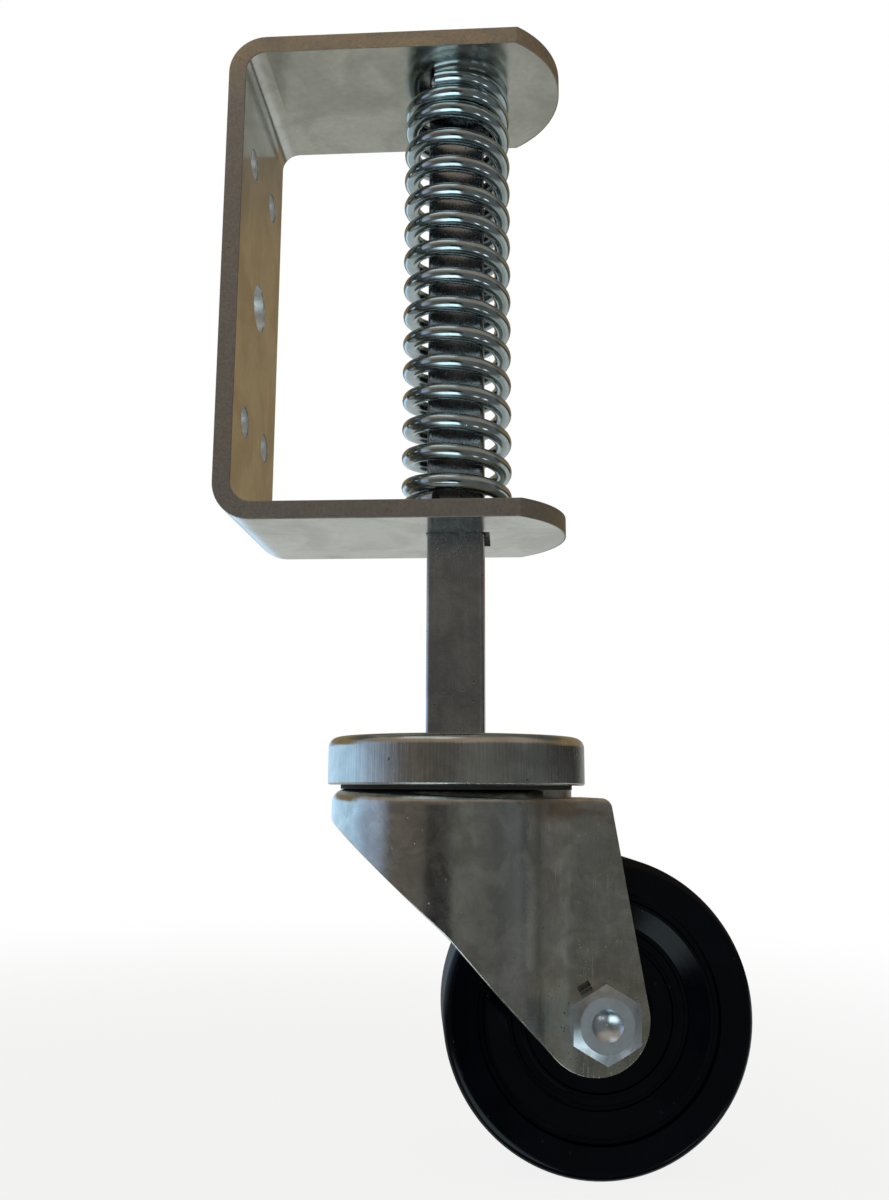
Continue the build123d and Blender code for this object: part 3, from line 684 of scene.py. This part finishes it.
# What the plate reflects at its own height: the share of a turn from straight in front of
# the object, through its left side, its back and its right side, and the tone there.
SURROUND = (
    (0.00, (0.13, 0.125, 0.12)),
    (0.06, (0.15, 0.135, 0.12)),
    (0.145, (0.165, 0.142, 0.122)),
    (0.170, (0.42, 0.50, 0.66)),
    (0.225, (0.50, 0.64, 0.88)),
    (0.270, (0.68, 1.05, 1.45)),
    (0.42, (0.80, 1.15, 1.50)),
    (0.50, (0.55, 0.58, 0.58)),
    (0.575, (0.40, 0.40, 0.38)),
    (0.605, (0.037, 0.037, 0.04)),
    (0.735, (0.037, 0.037, 0.04)),
    (0.770, (0.16, 0.17, 0.18)),
    (0.84, (0.11, 0.115, 0.115)),
    (0.92, (0.17, 0.17, 0.16)),
)
CEILING = (0.40, 0.33, 0.26)
OVERHEAD = (0.19, 0.18, 0.16)
BACK_WALL = (0.31, 0.23, 0.13)
BACK_WALL_HIGH = (0.13, 0.13, 0.125)
BENCH_BEHIND = (0.60, 0.62, 0.60)
BENCH_NEAR = (0.42, 0.43, 0.39)
SHADE_IN_FRONT = (0.15, 0.15, 0.145)
SHADE_STRIP = (0.02, 0.02, 0.022)
SHADE_BELOW = (0.022, 0.034, 0.038)
LOW_WINDOW = (1.75, 2.15, 2.30)

# Small bright panes low in front: degrees round from the front (left is less than 0),
# degrees up, and radius in degrees
PANES = ((43.0, -42.0, 5.0), (67.0, -40.0, 5.0))
PANE = (2.2, 2.4, 2.5)


def make_floor():
    """Pale paper whose even glow hides its far edge, with the object's soft shadow on it."""
    bm = bmesh.new()
    bmesh.ops.create_grid(bm, x_segments=1, y_segments=1, size=FLOOR_SIZE)
    bmesh.ops.translate(bm, verts=bm.verts, vec=(STEM_X, 0, CAD_BOX[0].z))
    mesh = bpy.data.meshes.new("studio_floor")
    bm.to_mesh(mesh)
    bm.free()
    material, place = new_material("floor_paper")
    paper = noise(place, 40.0, 2.0)
    tone = blend(paper, colours().floor, tuple(0.98 * c for c in colours().floor))
    lit = place.node("ShaderNodeBsdfDiffuse", {}, {"Color": tone})
    glow = place.node("ShaderNodeEmission", {}, {"Color": WHITE, "Strength": 1.0})
    x, y, _ = parts_of(place)
    far = smooth(distance(x, y), 0.15, 0.7)
    near_share = far * (1.0 - FLOOR_GLOW) + FLOOR_GLOW
    mixed = place.node("ShaderNodeMixShader", {}, {0: near_share, 1: lit, 2: glow})
    place.node("ShaderNodeOutputMaterial", {}, {"Surface": mixed})
    mesh.materials.append(material)
    floor = bpy.data.objects.new("studio_floor", mesh)
    floor.visible_glossy = False
    bpy.context.scene.collection.objects.link(floor)


def direction(side_angle, up_angle):
    """The way to a place round the object, from degrees round from the front and degrees up."""
    turn = Matrix.Rotation(math.radians(side_angle), 3, "Z")
    rise = Matrix.Rotation(-math.radians(up_angle), 3, "X")
    return turn @ rise @ Vector((0, -1, 0))


def make_surround(scene):
    """A pale surround that the camera sees plain, and that the plate reflects in soft tones."""
    world = bpy.data.worlds.new("studio_surround")
    world.use_nodes = True
    world.node_tree.nodes.clear()
    start = Socket(world.node_tree)
    way = start.node("ShaderNodeTexCoord", {}, {}, "Generated")
    x, y, z = parts_of(way)
    turn = start.math("ARCTAN2", x * -1.0, y * -1.0) / (2 * math.pi)
    turn = start.math("FRACT", turn + 1.0)
    tones = turn.node("ShaderNodeValToRGB", {"stops": SURROUND}, {"Fac": turn})
    behind = smooth(y, 0.0, 0.30)
    before = 1.0 - behind
    tones = blend(behind * smooth(z, 0.08, 0.20), tones, BACK_WALL)
    tones = blend(behind * smooth(z, 0.45, 0.60), tones, BACK_WALL_HIGH)
    tones = blend(before * smooth(z, 0.26, 0.52), tones, CEILING)
    tones = blend(smooth(z, 0.86, 0.96), tones, OVERHEAD)
    tones = blend(behind * smooth(z, -0.03, -0.14), tones, BENCH_BEHIND)
    tones = blend(behind * smooth(z, -0.40, -0.60), tones, BENCH_NEAR)
    tones = blend(before * smooth(z, -0.08, -0.22), tones, SHADE_IN_FRONT)
    strip = between(x, -0.25, 0.175, 0.03) * smooth(y, 0.0, -0.2) * between(z, -0.40, -0.012, 0.012)
    tones = blend(strip, tones, SHADE_STRIP)
    tones = blend(before * smooth(z, -0.80, -0.92), tones, SHADE_BELOW)
    leftward = x / distance(x, y)
    window = (smooth(z, -0.38, -0.48) * smooth(z, -0.88, -0.78) * smooth(y, 0.05, -0.10)
              * smooth(leftward, 0.10, -0.02) * smooth(leftward, -0.95, -0.60))
    tones = blend(window, tones, LOW_WINDOW)
    for side_angle, up_angle, radius in PANES:
        aim = direction(side_angle, up_angle)
        along = x * aim.x + y * aim.y + z * aim.z
        pane = smooth(along, math.cos(math.radians(radius)), math.cos(math.radians(0.8 * radius)))
        tones = blend(pane, tones, PANE)
    reflected = start.node("ShaderNodeBackground", {}, {"Color": tones, "Strength": 1.0})
    seen = start.node("ShaderNodeBackground", {}, {"Color": WHITE, "Strength": 1.0})
    by_camera = start.node("ShaderNodeLightPath", {}, {}, "Is Camera Ray")
    mixed = start.node("ShaderNodeMixShader", {}, {0: by_camera, 1: reflected, 2: seen})
    start.node("ShaderNodeOutputWorld", {}, {"Surface": mixed})
    scene.world = world
    scene.view_settings.view_transform = "Standard"


# Each lamp: its name, its way round from the front (left is less than 0) and up, in degrees,
# its width and height, its power and its tint
LAMPS = (
    ("key_lamp", -35.0, 60.0, 1.00, 0.60, 1.1, (0.90, 0.97, 1.0)),
    ("top_lamp", 170.0, 80.0, 0.60, 0.60, 0.3, (1.0, 0.95, 0.88)),
)
LAMP_DISTANCE = 1.3


def make_lamps(scene):
    """A wide cool key lamp from the upper left front, and a warm one above."""
    middle = Vector((STEM_X, 0, 0))
    for name, side_angle, up_angle, width, height, power, tint in LAMPS:
        lamp = bpy.data.lights.new(name, "AREA")
        lamp.shape = "RECTANGLE"
        lamp.size = width
        lamp.size_y = height
        lamp.energy = power
        lamp.color = tint
        way = direction(side_angle, up_angle)
        holder = bpy.data.objects.new(name, lamp)
        holder.location = middle + LAMP_DISTANCE * way
        holder.rotation_euler = way.to_track_quat("Z", "Y").to_euler()
        scene.collection.objects.link(holder)


def make_camera(scene):
    """The camera looks along +Y, a little down, from the height of the swivel head."""
    pitch, yaw, roll = CAMERA_TURN
    turn = (Matrix.Rotation(roll, 3, "Z") @ Matrix.Rotation(pitch, 3, "X")
            @ Matrix.Rotation(yaw, 3, "Y") @ Matrix(((1, 0, 0), (0, 0, -1), (0, 1, 0))))
    right, down, ahead = turn
    camera = bpy.data.cameras.new("studio_camera")
    camera.lens = CAMERA_LENS
    camera.shift_x, camera.shift_y = CAMERA_SHIFT
    holder = bpy.data.objects.new("studio_camera", camera)
    facing = Matrix((right, -down, -ahead)).transposed().to_4x4()
    holder.matrix_world = Matrix.Translation(CAMERA_AT) @ facing
    scene.collection.objects.link(holder)
    scene.camera = holder


# ---- panel and registration -----------------------------------------------------------------

OPERATORS = (GATEWHEEL_OT_bracket, GATEWHEEL_OT_stem, GATEWHEEL_OT_spring, GATEWHEEL_OT_swivel,
             GATEWHEEL_OT_fork, GATEWHEEL_OT_axle, GATEWHEEL_OT_wheel, GATEWHEEL_OT_stage)


class GATEWHEEL_PT_panel(Panel):
    """Sizes, colours and pieces of the gate wheel"""
    bl_idname = "GATEWHEEL_PT_panel"
    bl_label = "Gate Wheel"
    bl_space_type = "VIEW_3D"
    bl_region_type = "UI"
    bl_category = "Gate Wheel"

    def draw(self, context):
        for group in (sizes(), colours()):
            box = self.layout.box()
            for name in group.__annotations__:
                box.prop(group, name)
        for operator in OPERATORS:
            self.layout.operator(operator.bl_idname)


CLASSES = (GateWheelSizes, GateWheelColours, *OPERATORS, GATEWHEEL_PT_panel)


def register():
    for made in CLASSES:
        bpy.utils.register_class(made)
    bpy.types.Scene.gate_wheel_sizes = PointerProperty(type=GateWheelSizes)
    bpy.types.Scene.gate_wheel_colours = PointerProperty(type=GateWheelColours)


def unregister():
    del bpy.types.Scene.gate_wheel_colours
    del bpy.types.Scene.gate_wheel_sizes
    for made in reversed(CLASSES):
        bpy.utils.unregister_class(made)


def main():
    register()
    for operator in OPERATORS:
        group, name = operator.bl_idname.split(".")
        getattr(getattr(bpy.ops, group), name)()


if __name__ == "__main__":
    main()
